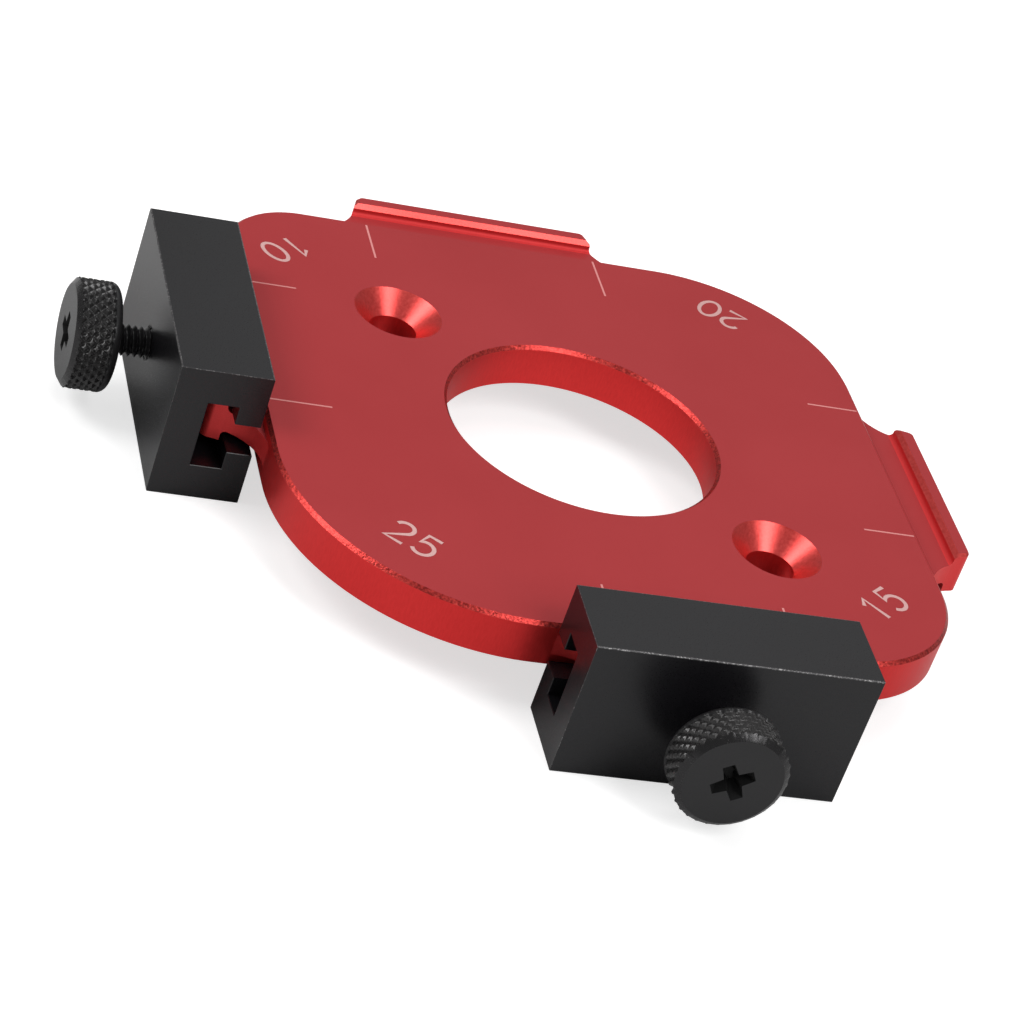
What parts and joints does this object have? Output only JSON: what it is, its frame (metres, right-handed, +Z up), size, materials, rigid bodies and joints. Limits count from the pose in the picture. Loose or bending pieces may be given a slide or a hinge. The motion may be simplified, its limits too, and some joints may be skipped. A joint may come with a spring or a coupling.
{
  "type": "router radius jig",
  "caption": "Square corner template plate with a different radius at each corner, sliding slotted fences on its side tabs and knurled clamping thumb screws.",
  "frame": {"origin": "on the surface that the fences stand on, under the middle of the part's box", "axes": "+Z up, square to the plate's top face; +X right along the plate's front side; +Y away from the front side"},
  "size_m": [0.0996, 0.0988, 0.016],
  "materials": {
    "red_anodised": "satin red anodising",
    "black_anodised": "satin black anodising",
    "black_steel": "blackened steel"
  },
  "bodies": {
    "plate": {"template_plate": "red_anodised"},
    "left_fence": {"left_fence": "black_anodised"},
    "left_shank": {"left_screw_shank": "black_steel"},
    "left_head": {"left_screw_head": "black_steel"},
    "front_fence": {"front_fence": "black_anodised"},
    "front_shank": {"front_screw_shank": "black_steel"},
    "front_head": {"front_screw_head": "black_steel"}
  },
  "joints": [
    {"name": "left_fence_slide", "type": "slide", "parent": "plate", "child": "left_fence", "axis": [0, 1, 0], "range_m": [-0.01, 0.01]},
    {"name": "left_screw_advance", "type": "slide", "parent": "left_fence", "child": "left_shank", "axis": [1, 0, 0], "range_m": [-0.00211, 0.00071]},
    {"name": "left_screw_turn", "type": "hinge", "parent": "left_shank", "child": "left_head", "pos_m": [-0.04725, 0.0147, 0.008], "axis": [1, 0, 0], "range_deg": [-1080, 360]},
    {"name": "front_fence_slide", "type": "slide", "parent": "plate", "child": "front_fence", "axis": [1, 0, 0], "range_m": [-0.0075, 0.0075]},
    {"name": "front_screw_advance", "type": "slide", "parent": "front_fence", "child": "front_shank", "axis": [0, 1, 0], "range_m": [-0.00211, 0.00001]},
    {"name": "front_screw_turn", "type": "hinge", "parent": "front_shank", "child": "front_head", "pos_m": [0.01135, -0.0469, 0.008], "axis": [0, 1, 0], "range_deg": [-1080, 0]}
  ],
  "couplings": [
    {"joint": "left_screw_advance", "follows": "left_screw_turn", "m_per_rad": 0.00011141},
    {"joint": "front_screw_advance", "follows": "front_screw_turn", "m_per_rad": 0.00011141}
  ]
}
